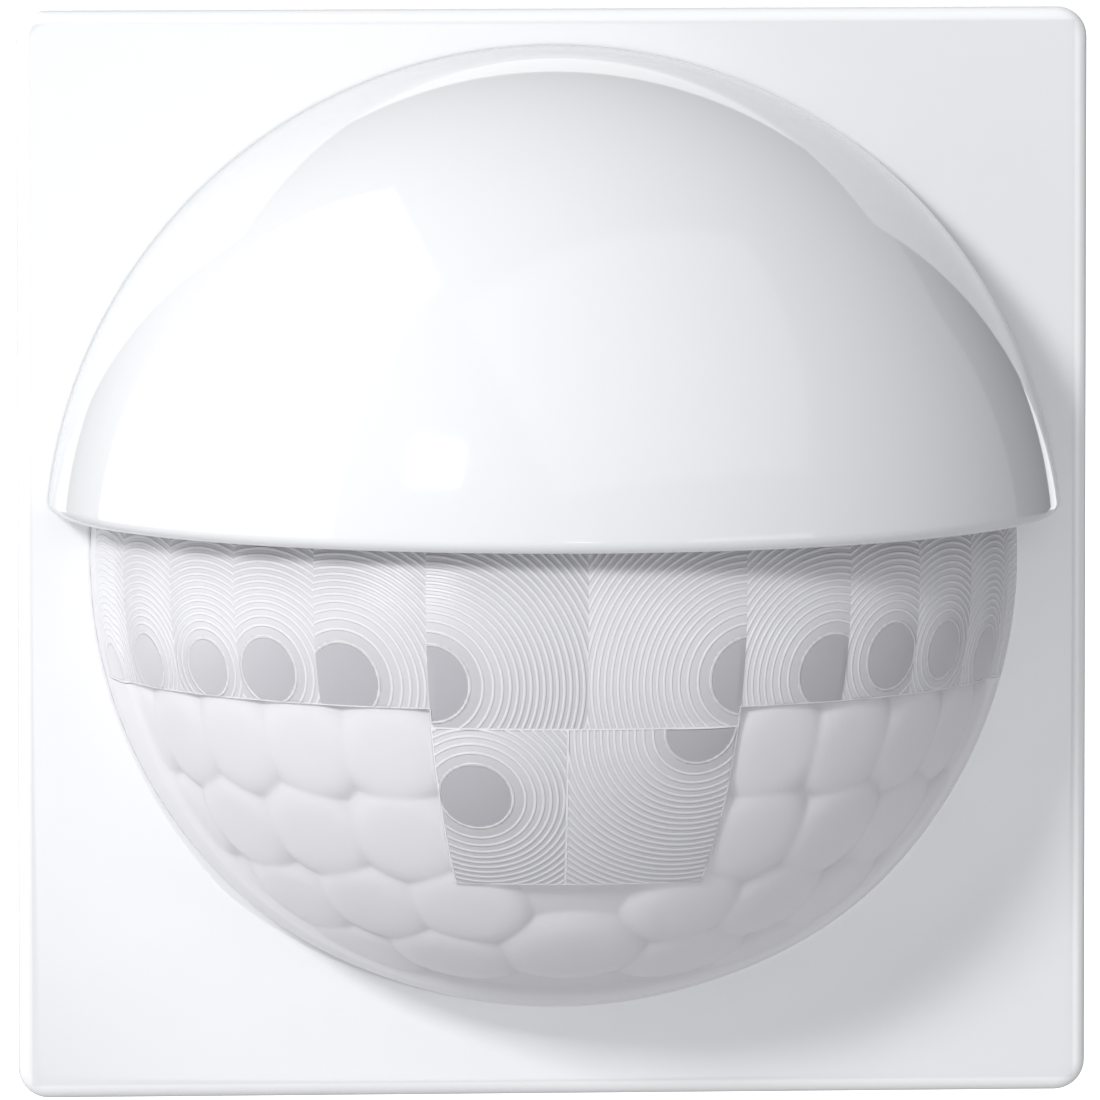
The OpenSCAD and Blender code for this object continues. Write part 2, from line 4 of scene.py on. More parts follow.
import bmesh
import bpy
import numpy as np
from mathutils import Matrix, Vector


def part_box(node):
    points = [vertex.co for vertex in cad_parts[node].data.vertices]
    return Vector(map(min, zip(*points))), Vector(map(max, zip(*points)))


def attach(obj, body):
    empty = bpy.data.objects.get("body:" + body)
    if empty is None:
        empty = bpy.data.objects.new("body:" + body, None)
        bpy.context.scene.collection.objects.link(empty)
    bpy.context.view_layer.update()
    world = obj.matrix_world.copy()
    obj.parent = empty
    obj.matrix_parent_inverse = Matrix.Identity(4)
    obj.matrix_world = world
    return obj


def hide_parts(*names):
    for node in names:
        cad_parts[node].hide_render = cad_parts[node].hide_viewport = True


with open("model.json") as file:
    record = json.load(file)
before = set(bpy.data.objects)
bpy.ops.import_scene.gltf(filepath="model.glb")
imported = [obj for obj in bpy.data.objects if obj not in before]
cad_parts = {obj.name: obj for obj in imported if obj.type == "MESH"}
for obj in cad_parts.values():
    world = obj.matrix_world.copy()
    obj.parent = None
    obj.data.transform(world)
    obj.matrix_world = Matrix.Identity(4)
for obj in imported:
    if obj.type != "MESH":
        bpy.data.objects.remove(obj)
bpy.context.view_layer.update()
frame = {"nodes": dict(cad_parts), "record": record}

MM = 0.001
nodes = frame["nodes"]

# Sizes taken from the CAD nodes, in millimetres.
plate_low, plate_high = (np.array(c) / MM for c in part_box("cover_plate"))
lens_low, lens_high = (np.array(c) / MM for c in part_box("lens_dome"))
hood_low, hood_high = (np.array(c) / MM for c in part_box("hood"))
FACE_Y = plate_low[1]                      # front face of the plate
SKIRT_Y = plate_high[1]                    # rear edge of its skirt
HALF_W = plate_high[0]
HALF_H = plate_high[2]
LENS_R = FACE_Y - lens_low[1]              # lens radius about the ball's centre
LENS_TOP = lens_high[2]                    # upper edge of the lens
HOOD_R = FACE_Y - hood_low[1]
HOOD_EDGE = hood_low[2]                    # lower edge of the hood
FACE_T = 1.6                               # wall of the plate's face
WALL_T = 1.6                               # wall of the plate's skirt
CORNER_R = 2.0                             # corner radius of the plate
RIM_R = 0.85                               # rounding between face and skirt
OPENING_GAP = 0.01                         # running clearance between the lens and the plate's opening
OPENING_R = 0.06                           # rounding of the opening's edge
HOOD_T = 2.3                               # wall of the hood
LIP_R = 0.8                                # rounding under the hood's lip, outside
LIP_BACK_R = 0.4                           # rounding under the hood's lip, inside
HOOD_GAP = 0.1                             # gap between the hood's rear edge and the plate's face
PEG_R = 0.88                               # radius of the pegs that hold the hood
PEG_LENGTH = 1.5                           # how far they reach past the plate's face
PEGS_AT = (12, 90, 168)                    # angles of the hood's pegs, in degrees
LENS_T = 1.1                               # wall of the lens
RELIEF = 0.80                              # full depth of the relief on the lens
BAND_LOW = -14.5                           # lower edge of the lens's grooved band, in degrees
WINDOW_SIDE = 20.0                         # side edges of the grooved window below it, in degrees
WINDOW_TOP = -17.0                         # upper edge of the window, in degrees
WINDOW_LOW = -40.0                         # lower edge of the window, in degrees
WINDOW_SPLIT = -2.4                        # line between the window's two zones, in degrees
BAND_TOP = 20.0                            # zones run on to here, past the lens's upper edge


# ---------------------------------------------------------------- mesh making

def mesh_piece(name, points, faces, smooth=True):
    """A named mesh object at the origin from points in millimetres and faces as index lists."""
    mesh = bpy.data.meshes.new(name)
    mesh.from_pydata((np.asarray(points, float) * MM).tolist(), [], faces)
    mesh.validate()
    piece = bpy.data.objects.new(name, mesh)
    bpy.context.scene.collection.objects.link(piece)
    if smooth:
        mesh.polygons.foreach_set("use_smooth", np.ones(len(mesh.polygons), bool))
    return piece


def grid_faces(rows, columns, close_rows=False, close_columns=False, first=0):
    """Quads between neighbouring points of a rows by columns grid, numbered row after row."""
    r = np.arange(rows if close_rows else rows - 1)
    c = np.arange(columns if close_columns else columns - 1)
    r, c = (k.ravel() for k in np.meshgrid(r, c, indexing="ij"))
    r2, c2 = (r + 1) % rows, (c + 1) % columns
    return first + np.stack([r * columns + c, r * columns + c2, r2 * columns + c2, r2 * columns + c], 1)


def tidy_mesh(piece, distance=2e-6):
    """Merges points that fall together, drops collapsed faces and turns the faces outwards."""
    work = bmesh.new()
    work.from_mesh(piece.data)
    bmesh.ops.remove_doubles(work, verts=work.verts, dist=distance)
    bmesh.ops.dissolve_degenerate(work, edges=work.edges, dist=distance / 4)
    bmesh.ops.recalc_face_normals(work, faces=work.faces)
    work.to_mesh(piece.data)
    work.free()
    piece.data.update()
    return piece


def sharpen(piece, degrees=35):
    """Edges bent by more than this many degrees are marked sharp, the rest stay smooth."""
    piece.data.set_sharp_from_angle(angle=math.radians(degrees))
    return piece


def arc(centre, radius, start, end, count):
    """Points of a circle arc in a plane, angles in degrees, both ends included."""
    a = np.radians(np.linspace(start, end, count))
    return np.stack([centre[0] + radius * np.cos(a), centre[1] + radius * np.sin(a)], 1)


def smoothstep(low, high, value):
    """0 at low and 1 at high with a smooth start and end: three t squared less two t cubed."""
    t = np.clip((value - low) / (high - low), 0, 1)
    return t * t * (3 - 2 * t)


def flattening(up):
    """Share of the full height that the lens keeps: it is drawn in by a fortieth or so where its unit direction
    points nearly straight down."""
    return 1 - 0.0225 * smoothstep(0.70, 1.0, -up)


# ---------------------------------------------------------------- materials

def new_material(name):
    """A node material with its tree and its one shader."""
    made = bpy.data.materials.new(name)
    made.use_nodes = True
    tree = made.node_tree
    shader = next(n for n in tree.nodes if n.type == "BSDF_PRINCIPLED")
    return made, tree, shader


def add(tree, kind, inputs=(), **settings):
    """A node of this kind, with its settings, and its inputs given as name or number to value or socket."""
    node = tree.nodes.new(kind)
    for key, value in settings.items():
        setattr(node, key, value)
    for key, value in dict(inputs).items():
        if isinstance(value, bpy.types.NodeSocket):
            tree.links.new(value, node.inputs[key])
        else:
            node.inputs[key].default_value = value
    return node


def math_node(tree, operation, a, b=0.0):
    """One sum, product or the like of two values or sockets."""
    return add(tree, "ShaderNodeMath", {0: a, 1: b}, operation=operation).outputs[0]


def mix_colour(tree, factor, a, b):
    """Colour a where factor is 0 and colour b where it is 1."""
    return add(tree, "ShaderNodeMix", {0: factor, 6: a, 7: b}, data_type="RGBA").outputs[2]


def grain(tree, scale, detail=4.0, roughness=0.55):
    """Noise on Object coordinates; scale is waves a metre."""
    place = add(tree, "ShaderNodeTexCoord").outputs["Object"]
    return add(tree, "ShaderNodeTexNoise", {"Vector": place, "Scale": scale, "Detail": detail,
                                            "Roughness": roughness}).outputs["Fac"]


def ramp(tree, value, from_low, from_high, to_low, to_high, kind="LINEAR"):
    """Carries one range of a value onto another, and holds it at the ends."""
    return add(tree, "ShaderNodeMapRange", {0: value, 1: from_low, 2: from_high, 3: to_low, 4: to_high},
               interpolation_type=kind).outputs[0]


def moulded_plastic(name, colour, roughness=0.35, spark=900.0, depth=0.00001, vary=0.03, coat=0.0,
                    subsurface=0.0):
    """Moulded plastic: a faint cloudy tint, a roughness that varies with it and a fine spark-eroded grain."""
    made, tree, shader = new_material(name)
    cloud = grain(tree, 45.0, 3.0)
    fine = grain(tree, spark, 6.0, 0.65)
    tint = mix_colour(tree, ramp(tree, cloud, 0.3, 0.7, 0.0, 1.0),
                      (*[c * (1 - vary) for c in colour], 1), (*[min(c * (1 + vary), 1) for c in colour], 1))
    tree.links.new(tint, shader.inputs["Base Color"])
    tree.links.new(ramp(tree, fine, 0.3, 0.7, roughness * 0.88, roughness * 1.12), shader.inputs["Roughness"])
    bump = add(tree, "ShaderNodeBump", {"Strength": 1.0, "Distance": depth, "Height": fine})
    tree.links.new(bump.outputs[0], shader.inputs["Normal"])
    shader.inputs["Coat Weight"].default_value = coat
    shader.inputs["Coat Roughness"].default_value = 0.05
    shader.inputs["Subsurface Weight"].default_value = subsurface
    shader.inputs["Subsurface Radius"].default_value = (1.0, 0.95, 0.9)
    shader.inputs["Subsurface Scale"].default_value = 0.0006
    return made


def plated_metal(name, colour, roughness=0.3, streak=(60.0, 60.0, 2200.0), depth=0.000006):
    """Plated sheet or turned metal: fine drawn streaks, patchy sheen and slight dulling."""
    made, tree, shader = new_material(name)
    place = add(tree, "ShaderNodeTexCoord").outputs["Object"]
    stretched = add(tree, "ShaderNodeMapping", {"Vector": place, "Scale": streak}).outputs[0]
    lines = add(tree, "ShaderNodeTexNoise", {"Vector": stretched, "Scale": 1.0, "Detail": 5.0}).outputs["Fac"]
    patch = grain(tree, 220.0, 4.0)
    tint = mix_colour(tree, ramp(tree, patch, 0.35, 0.7, 0.0, 1.0),
                      (*[c * 0.86 for c in colour], 1), (*colour, 1))
    tree.links.new(tint, shader.inputs["Base Color"])
    wear = math_node(tree, "MULTIPLY", patch, lines)
    tree.links.new(ramp(tree, wear, 0.12, 0.4, roughness * 0.75, roughness * 1.35), shader.inputs["Roughness"])
    bump = add(tree, "ShaderNodeBump", {"Strength": 1.0, "Distance": depth, "Height": lines})
    tree.links.new(bump.outputs[0], shader.inputs["Normal"])
    shader.inputs["Metallic"].default_value = 1.0
    return made


def clear_resin(name, colour, transmission=0.8, roughness=0.08):
    """Clear or tinted resin with faint flow marks."""
    made, tree, shader = new_material(name)
    flow = grain(tree, 500.0, 3.0)
    tree.links.new(mix_colour(tree, flow, (*[c * 0.9 for c in colour], 1), (*colour, 1)),
                   shader.inputs["Base Color"])
    tree.links.new(ramp(tree, flow, 0.3, 0.7, roughness * 0.8, roughness * 1.3), shader.inputs["Roughness"])
    shader.inputs["Transmission Weight"].default_value = transmission
    shader.inputs["IOR"].default_value = 1.52
    return made


def board_laminate(name):
    """Circuit board: green solder mask over a faint copper track relief and glass weave."""
    made, tree, shader = new_material(name)
    place = add(tree, "ShaderNodeTexCoord").outputs["Object"]
    tracks = add(tree, "ShaderNodeTexBrick", {"Vector": place, "Scale": 320.0, "Mortar Size": 0.06,
                                              "Color1": (0.02, 0.20, 0.09, 1), "Color2": (0.02, 0.24, 0.11, 1),
                                              "Mortar": (0.01, 0.12, 0.05, 1)})
    fine = grain(tree, 2500.0, 3.0)
    tree.links.new(tracks.outputs["Color"], shader.inputs["Base Color"])
    tree.links.new(ramp(tree, fine, 0.3, 0.7, 0.25, 0.4), shader.inputs["Roughness"])
    bump = add(tree, "ShaderNodeBump", {"Strength": 0.6, "Distance": 0.00002, "Height": tracks.outputs["Fac"]})
    tree.links.new(bump.outputs[0], shader.inputs["Normal"])
    return made


def lens_plastic(name):
    """Milky lens plastic. Reads the lens's own attributes: ring_n counts the grooves outwards from the middle of
    a zone, ring_step is the width of one groove in millimetres, seam is the distance to a moulded line, and the fourth
    holds the wall's milky paleness with painted shade and painted light in it. A groove rises slowly and drops at
    each whole ring_n, where its crest stands; crests and moulded lines also get a painted highlight."""
    made, tree, shader = new_material(name)
    ring_n = add(tree, "ShaderNodeAttribute", attribute_name="ring_n").outputs["Fac"]
    step = add(tree, "ShaderNodeAttribute", attribute_name="ring_step").outputs["Fac"]
    seam = add(tree, "ShaderNodeAttribute", attribute_name="seam").outputs["Fac"]
    milk_tone_and_painted_light = add(tree, "ShaderNodeAttribute", attribute_name="milk_tone_and_painted_light").outputs["Fac"]
    grooved = math_node(tree, "GREATER_THAN", ring_n, 0.0)
    nearest = math_node(tree, "MAXIMUM", math_node(tree, "ROUND", ring_n), 1.0)
    off_crest = math_node(tree, "MULTIPLY", step,
                          math_node(tree, "ABSOLUTE", math_node(tree, "SUBTRACT", ring_n, nearest)))
    crest = math_node(tree, "MULTIPLY", ramp(tree, off_crest, 0.045, 0.13, 1.0, 0.0, "SMOOTHSTEP"), grooved)
    slope = math_node(tree, "MULTIPLY", math_node(tree, "SUBTRACT", 1.0, math_node(tree, "FRACT", ring_n)), grooved)
    outside_disc = ramp(tree, ring_n, 0.98, 1.02, 0.0, 1.0)
    slope = math_node(tree, "MULTIPLY", slope, outside_disc)
    line = ramp(tree, seam, 0.05, 0.13, 1.0, 0.0, "SMOOTHSTEP")
    height = math_node(tree, "ADD", math_node(tree, "MULTIPLY", crest, 0.55), slope)
    height = math_node(tree, "MAXIMUM", height, math_node(tree, "MULTIPLY", line, 1.2))
    fine = grain(tree, 3200.0, 3.0, 0.6)
    height = math_node(tree, "ADD", height, math_node(tree, "MULTIPLY", fine, 0.05))
    lens_colour_with_painted_light = mix_colour(tree, milk_tone_and_painted_light, (0.42, 0.41, 0.44, 1), (0.91, 0.90, 0.93, 1))
    # Painted highlight: groove crests and moulded lines are mixed towards near white, standing in for light caught on
    # the ridges.
    painted_highlight = math_node(tree, "MAXIMUM", math_node(tree, "MULTIPLY", crest, 0.8),
                       math_node(tree, "MULTIPLY", line, 0.85))
    lens_colour_with_painted_light = mix_colour(tree, painted_highlight, lens_colour_with_painted_light, (0.95, 0.95, 0.97, 1))
    tree.links.new(lens_colour_with_painted_light, shader.inputs["Base Color"])
    tree.links.new(ramp(tree, fine, 0.3, 0.7, 0.34, 0.44), shader.inputs["Roughness"])
    bump = add(tree, "ShaderNodeBump", {"Strength": 1.0, "Distance": 0.00010, "Height": height})
    tree.links.new(bump.outputs[0], shader.inputs["Normal"])
    shader.inputs["Subsurface Weight"].default_value = 0.2
    shader.inputs["Subsurface Radius"].default_value = (1.0, 0.97, 1.0)
    shader.inputs["Subsurface Scale"].default_value = 0.0004
    shader.inputs["IOR"].default_value = 1.53
    return made


def polished_cover(name):
    """Glossy cover plastic with a painted highlight: a paler band that starts just inside the plate's outline and
    ends where the rounded rim meets the face."""
    made = moulded_plastic(name, (0.865, 0.872, 0.885), 0.09, 260.0, 0.0000015, 0.006, 0.3)
    tree = made.node_tree
    shader = next(n for n in tree.nodes if n.type == "BSDF_PRINCIPLED")
    tint = shader.inputs["Base Color"].links[0].from_socket
    place = add(tree, "ShaderNodeSeparateXYZ", {0: add(tree, "ShaderNodeTexCoord").outputs["Object"]})
    side = math_node(tree, "SUBTRACT", HALF_W * MM, math_node(tree, "ABSOLUTE", place.outputs[0]))
    end = math_node(tree, "SUBTRACT", HALF_H * MM, math_node(tree, "ABSOLUTE", place.outputs[2]))
    inset = math_node(tree, "MINIMUM", side, end)
    # Painted highlight: the band over the rounded rim is mixed towards near white, standing in for the line of light
    # along the rim.
    rim = math_node(tree, "MULTIPLY", ramp(tree, inset, 0.00003, 0.00015, 0.0, 1.0, "SMOOTHSTEP"),
                    ramp(tree, inset, 0.00075, 0.00095, 1.0, 0.0, "SMOOTHSTEP"))
    tree.links.new(mix_colour(tree, rim, tint, (0.985, 0.985, 0.99, 1)), shader.inputs["Base Color"])
    return made


finish = {
    "white_cover": polished_cover("white_cover"),
    "hood_plastic": moulded_plastic("hood_plastic", (0.885, 0.89, 0.90), 0.06, 220.0, 0.0000012, 0.006, 0.4),
    "lens_plastic": lens_plastic("lens_plastic"),
    "head_plastic": moulded_plastic("head_plastic", (0.80, 0.80, 0.78), 0.38, 1500.0, 0.00001, 0.03),
    "board": board_laminate("board"),
    "black_plastic": moulded_plastic("black_plastic", (0.03, 0.03, 0.033), 0.42, 1600.0, 0.000012, 0.2),
    "sensor_can": plated_metal("sensor_can", (0.78, 0.77, 0.74), 0.22),
    "sensor_window": clear_resin("sensor_window", (0.08, 0.09, 0.13), 0.4, 0.1),
    "red_diode": clear_resin("red_diode", (0.75, 0.05, 0.04), 0.7, 0.06),
    "clear_diode": clear_resin("clear_diode", (0.85, 0.92, 0.94), 0.9, 0.05),
    "capacitor_can": plated_metal("capacitor_can", (0.75, 0.76, 0.78), 0.25),
    "blue_plastic": moulded_plastic("blue_plastic", (0.03, 0.12, 0.5), 0.4, 1500.0, 0.00001, 0.08),
    "dial_plastic": moulded_plastic("dial_plastic", (0.80, 0.30, 0.03), 0.35, 1500.0, 0.00001, 0.05),
    "gold_contact": plated_metal("gold_contact", (0.86, 0.64, 0.27), 0.24),
    "back_plastic": moulded_plastic("back_plastic", (0.62, 0.63, 0.63), 0.42, 1400.0, 0.000014, 0.04),
    "zinc_steel": plated_metal("zinc_steel", (0.68, 0.69, 0.71), 0.34, (2200.0, 60.0, 60.0)),
    "insert_plastic": moulded_plastic("insert_plastic", (0.10, 0.105, 0.115), 0.45, 1400.0, 0.000014, 0.1),
    "yellow_capacitor": moulded_plastic("yellow_capacitor", (0.75, 0.5, 0.08), 0.3, 900.0, 0.000008, 0.05),
    "dark_sleeve": moulded_plastic("dark_sleeve", (0.02, 0.03, 0.12), 0.25, 700.0, 0.000008, 0.1),
    "varistor_coat": moulded_plastic("varistor_coat", (0.05, 0.16, 0.5), 0.25, 500.0, 0.00002, 0.08),
    "fuse_body": moulded_plastic("fuse_body", (0.7, 0.58, 0.4), 0.3, 900.0, 0.000008, 0.06),
    "choke_coat": moulded_plastic("choke_coat", (0.25, 0.03, 0.03), 0.25, 500.0, 0.00002, 0.1),
    "terminal_plastic": moulded_plastic("terminal_plastic", (0.72, 0.72, 0.69), 0.4, 1500.0, 0.000012, 0.04),
    "button_plastic": moulded_plastic("button_plastic", (0.80, 0.32, 0.05), 0.38, 1500.0, 0.000012, 0.05),
    "spring_steel": plated_metal("spring_steel", (0.55, 0.56, 0.58), 0.3, (60.0, 2200.0, 60.0)),
    "brass_nut": plated_metal("brass_nut", (0.72, 0.55, 0.26), 0.3),
}
slot_of = {s["node"]: s["material_slot"] for s in frame["record"]["subparts"]}
for name, node in nodes.items():
    node.data.materials.clear()
    node.data.materials.append(finish[slot_of[name]])


def dress(piece, slot, body, *replaced):
    """Gives a finished piece the material of its slot and its body, and hides the CAD nodes that it stands for."""
    piece.data.materials.clear()
    piece.data.materials.append(finish[slot])
    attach(piece, body)
    if replaced:
        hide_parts(*replaced)
    return piece


# ---------------------------------------------------------------- cover plate

def plate_outline(inset, corner_steps=10, side_steps=26):
    """Closed outline of the plate drawn in by inset: four quarter circles of the corner radius less the inset,
    joined by straight sides. Every inset gives the same number of points, so outlines join up one to one."""
    radius = max(CORNER_R - inset, 0.02)
    drawn_in = max(CORNER_R, inset + radius)
    middles = [(sx * (HALF_W - drawn_in), sz * (HALF_H - drawn_in)) for sx, sz in ((1, 1), (-1, 1), (-1, -1), (1, -1))]
    bends = [arc(middle, radius, 90 * k, 90 * k + 90, corner_steps) for k, middle in enumerate(middles)]
    t = np.linspace(0, 1, side_steps + 2)[1:-1, None]
    sides = [bends[k][-1] + (bends[(k + 1) % 4][0] - bends[k][-1]) * t for k in range(4)]
    return np.concatenate([part for pair in zip(bends, sides) for part in pair])


def make_cover_plate():
    """Loops from the rear edge of the skirt, up its outside, round the rim in a quarter circle, over the face,
    which morphs from the outline to the ball's opening, through the opening and back down the inside."""
    opening = LENS_R + OPENING_GAP
    outer = plate_outline(0.0)
    angle = np.arctan2(outer[:, 1], outer[:, 0])
    circle = np.stack([np.cos(angle), np.sin(angle) * flattening(np.sin(angle))], 1)
    loops = []

    def loop(flat, depth):
        loops.append(np.stack([flat[:, 0], np.full(len(flat), depth), flat[:, 1]], 1))

    loop(plate_outline(0.25), SKIRT_Y)
    loop(plate_outline(0.08), SKIRT_Y - 0.08)
    loop(outer, SKIRT_Y - 0.25)
    for t in np.linspace(0.2, 1, 5):
        loop(outer, SKIRT_Y - 0.25 + (FACE_Y + RIM_R - SKIRT_Y + 0.25) * t)
    for a in np.radians(np.linspace(0, 90, 12)[1:]):
        loop(plate_outline(RIM_R * (1 - math.cos(a))), FACE_Y + RIM_R * (1 - math.sin(a)))
    rim = plate_outline(RIM_R)
    ring = circle * (opening + OPENING_R)
    for t in (0.04, 0.3, 0.6, 0.96, 1.0):
        loop(rim + (ring - rim) * t, FACE_Y)
    for a in np.radians([30, 60, 90]):
        loop(circle * (opening + OPENING_R * (1 - math.sin(a))), FACE_Y + OPENING_R * (1 - math.cos(a)))
    loop(circle * opening, FACE_Y + FACE_T)
    inside = plate_outline(WALL_T)
    for t in (0.0, 0.5, 1.0):
        loop(circle * (opening + OPENING_GAP) * (1 - t) + inside * t, FACE_Y + FACE_T)
    loop(inside, SKIRT_Y - 0.2)
    loop(plate_outline(WALL_T - 0.15), SKIRT_Y)
    points = np.stack(loops)
    count, around = points.shape[:2]
    faces = grid_faces(count, around, close_rows=True, close_columns=True)
    plate = mesh_piece("cover_plate_shell", points.reshape(-1, 3), faces.tolist())
    tidy_mesh(plate)
    return sharpen(plate, 40)


dress(make_cover_plate(), "white_cover", "module", "cover_plate")


# ---------------------------------------------------------------- hood

def make_hood():
    """A section turned through half a turn about the upright axis through the ball's centre: the outer sphere down
    from the pole, a circle round the lip, a flat underside and the inner sphere back up to the pole. The gap to the
    plate moves it forwards, and its foremost part is held at the hood's radius."""
    inner = HOOD_R - HOOD_T
    lip_z = HOOD_EDGE + LIP_R
    lip_x = math.sqrt((HOOD_R - LIP_R) ** 2 - lip_z ** 2)
    lip_angle = math.degrees(math.atan2(lip_z, lip_x))
    back_z = HOOD_EDGE + LIP_BACK_R
    back_x = math.sqrt((inner + LIP_BACK_R) ** 2 - back_z ** 2)
    back_angle = math.degrees(math.atan2(back_z, back_x))
    section = np.concatenate([
        arc((0, 0), HOOD_R, 90, lip_angle, 96)[:-1],
        arc((lip_x, lip_z), LIP_R, lip_angle, -90, 22),
        arc((back_x, back_z), LIP_BACK_R, 270, 180 + back_angle, 8),
        arc((0, 0), inner, back_angle, 90, 60)[1:],
    ])
    turn = np.radians(np.linspace(-90, 90, 241))
    across = section[:, 0][None, :] * np.sin(turn)[:, None]
    out = section[:, 0][None, :] * np.cos(turn)[:, None]
    up = np.broadcast_to(section[:, 1][None, :], across.shape)
    points = np.stack([across, FACE_Y - HOOD_GAP - out, up], 2)
    points[..., 1] = np.maximum(points[..., 1], FACE_Y - HOOD_R)
    columns, rows = points.shape[:2]
    faces = grid_faces(columns, rows).tolist()
    faces += [list(range(rows)), list(range((columns - 1) * rows, columns * rows))]
    pegs, peg_faces = peg_rings(columns * rows)
    points = np.concatenate([points.reshape(-1, 3), pegs])
    hood = mesh_piece("hood_shell", points, faces + peg_faces)
    tidy_mesh(hood)
    return sharpen(hood, 40)


def peg_rings(first, steps=20):
    """Three round pegs with a chamfered nose: a circle carried along each peg's axis, as pairs of radius and depth
    past the plate's face. The points are numbered from first."""
    rings = [(PEG_R, -0.3), (PEG_R, PEG_LENGTH - 0.2), (PEG_R - 0.18, PEG_LENGTH), (0.001, PEG_LENGTH)]
    turn = np.linspace(0, 2 * np.pi, steps, endpoint=False)
    points, faces = [], []
    for angle in np.radians(PEGS_AT):
        x, z = (HOOD_R - HOOD_T / 2) * np.array([math.cos(angle), math.sin(angle)])
        base = first + len(points) * len(rings) * steps
        points.append(np.concatenate([np.stack([x + r * np.cos(turn), np.full(steps, FACE_Y + d),
                                                z + r * np.sin(turn)], 1) for r, d in rings]))
        faces += grid_faces(len(rings), steps, close_columns=True, first=base).tolist()
        faces.append(list(range(base, base + steps)))
    return np.concatenate(points), faces


dress(make_hood(), "hood_plastic", "hood", "hood")


# ---------------------------------------------------------------- lens

# Right-hand edges of the zones in one half of the band, in degrees from the front.
BAND_EDGES = [0.0, 20.0, 35.0, 47.2, 59.5, 72.0, 84.0]


def band_zones(side, middles):
    """The band's zones on one side, from the front outwards: left and right edge, lower and upper edge, middle of
    the rings and radius of the first ring. The inner pair reaches down to the window."""
    zones = []
    for k, (turn, lat, first) in enumerate(middles):
        edges = sorted((side * BAND_EDGES[k], side * BAND_EDGES[k + 1]))
        zones.append((*edges, WINDOW_TOP if k == 0 else BAND_LOW, BAND_TOP, side * turn, lat, first))
    return zones


# Middles of the rings: turn from the front and height angle in degrees, radius of the first ring in millimetres.
GROOVED = band_zones(-1, [
    (19.8, -11.3, 2.65), (31.5, -11.4, 2.65), (42.5, -10.6, 2.3), (53.1, -10.9, 2.0), (66.7, -11.3, 2.0),
    (79.0, -13.0, 1.7),
]) + band_zones(1, [
    (20.6, -10.6, 2.65), (32.7, -10.6, 2.55), (42.8, -9.3, 2.3), (53.8, -9.3, 2.0), (66.7, -11.0, 2.0),
    (79.0, -13.0, 1.7),
]) + [
    (-WINDOW_SIDE, WINDOW_SPLIT, WINDOW_LOW, WINDOW_TOP, -14.9, -26.3, 2.45),
    (WINDOW_SPLIT, WINDOW_SIDE, WINDOW_LOW, WINDOW_TOP, 14.9, -17.2, 2.45),
]
# Pillow-shaped cells, the same on both sides: middle in degrees and radius in millimetres.
CELLS = [(side * turn, lat, r) for turn, lat, r in [
    (26.5, -21.0, 3.75), (39.0, -21.0, 3.75), (51.5, -21.0, 3.7), (63.5, -21.0, 3.6), (74.5, -21.0, 3.4),
    (27.0, -33.5, 3.9), (42.5, -33.5, 3.9), (58.0, -33.5, 3.8), (73.0, -33.5, 3.5),
    (20.0, -46.0, 3.9), (38.5, -46.0, 3.9), (57.0, -46.0, 3.8), (75.0, -45.0, 3.6),
    (29.0, -58.5, 4.1), (56.0, -58.0, 4.0)] for side in (-1, 1)] + [(0.0, -56.5, 4.7)]
# Moulded lines: what stays the same along the line, its value there, and where the line starts and ends.
LINES_AT = [
    ("turn", -WINDOW_SIDE, WINDOW_LOW, BAND_LOW), ("turn", WINDOW_SIDE, WINDOW_LOW, BAND_LOW),
    ("turn", WINDOW_SPLIT, WINDOW_LOW, WINDOW_TOP),
    ("height", BAND_LOW, -BAND_EDGES[-1], -WINDOW_SIDE), ("height", BAND_LOW, WINDOW_SIDE, BAND_EDGES[-1]),
    ("height", WINDOW_TOP, -WINDOW_SIDE, WINDOW_SIDE), ("height", WINDOW_LOW, -WINDOW_SIDE, WINDOW_SIDE),
]


def direction(turn, lat):
    """Unit vector to the right, outwards and up for a turn from the front and a height angle, in degrees."""
    t, h = np.radians(turn), np.radians(lat)
    return np.stack([np.cos(h) * np.sin(t), np.cos(h) * np.cos(t), np.sin(h)], -1)


def apart(turn, lat, turn0, lat0):
    """Distance over the lens surface in millimetres between a field of directions and one direction."""
    return LENS_R * np.arccos(np.clip(direction(turn, lat) @ direction(turn0, lat0), -1, 1))


def lens_relief(turn, lat):
    """Height of the lens surface below its full radius. Outside the grooved zones it is the highest of three: the
    cells, each a cap that falls from its middle with the fifth power of the distance, a base level, and a border
    that rises to the full radius towards the plate. Grooved zones keep one level, a little raised in the disc."""
    forward = direction(turn, lat)[..., 1]
    level = np.zeros(turn.shape)
    for t, h, r in CELLS:
        level = np.maximum(level, 0.50 * (1 - 0.80 * (apart(turn, lat, t, h) / (r * 1.10)) ** 5))
    border = RELIEF - 14.0 * np.maximum(forward - 0.24, 0)
    level = np.maximum(level, border)
    for left, right, low, high, t, h, first in GROOVED:
        inside = (turn >= left) & (turn <= right) & (lat >= low) & (lat <= high)
        disc = np.clip(1 - (apart(turn, lat, t, h) / first) ** 2, 0, 1)
        level = np.where(inside, np.maximum(0.62 + 0.12 * disc, border), level)
    return np.minimum(level, RELIEF) - RELIEF


def fine_steps(stops, step):
    """Values that pass through every stop with steps no wider than step."""
    parts = [np.linspace(a, b, max(int(math.ceil(abs(b - a) / step)), 1), endpoint=False)
             for a, b in zip(stops[:-1], stops[1:])]
    return np.concatenate(parts + [stops[-1:]])


def on_ball(turn, lat, radius):
    """Points of the lens at a radius, which may be a field of its own, for every turn and height angle."""
    unit = direction(turn, lat)
    return np.stack([radius * unit[..., 0], FACE_Y - radius * unit[..., 1],
                     radius * unit[..., 2] * flattening(unit[..., 2])], -1)


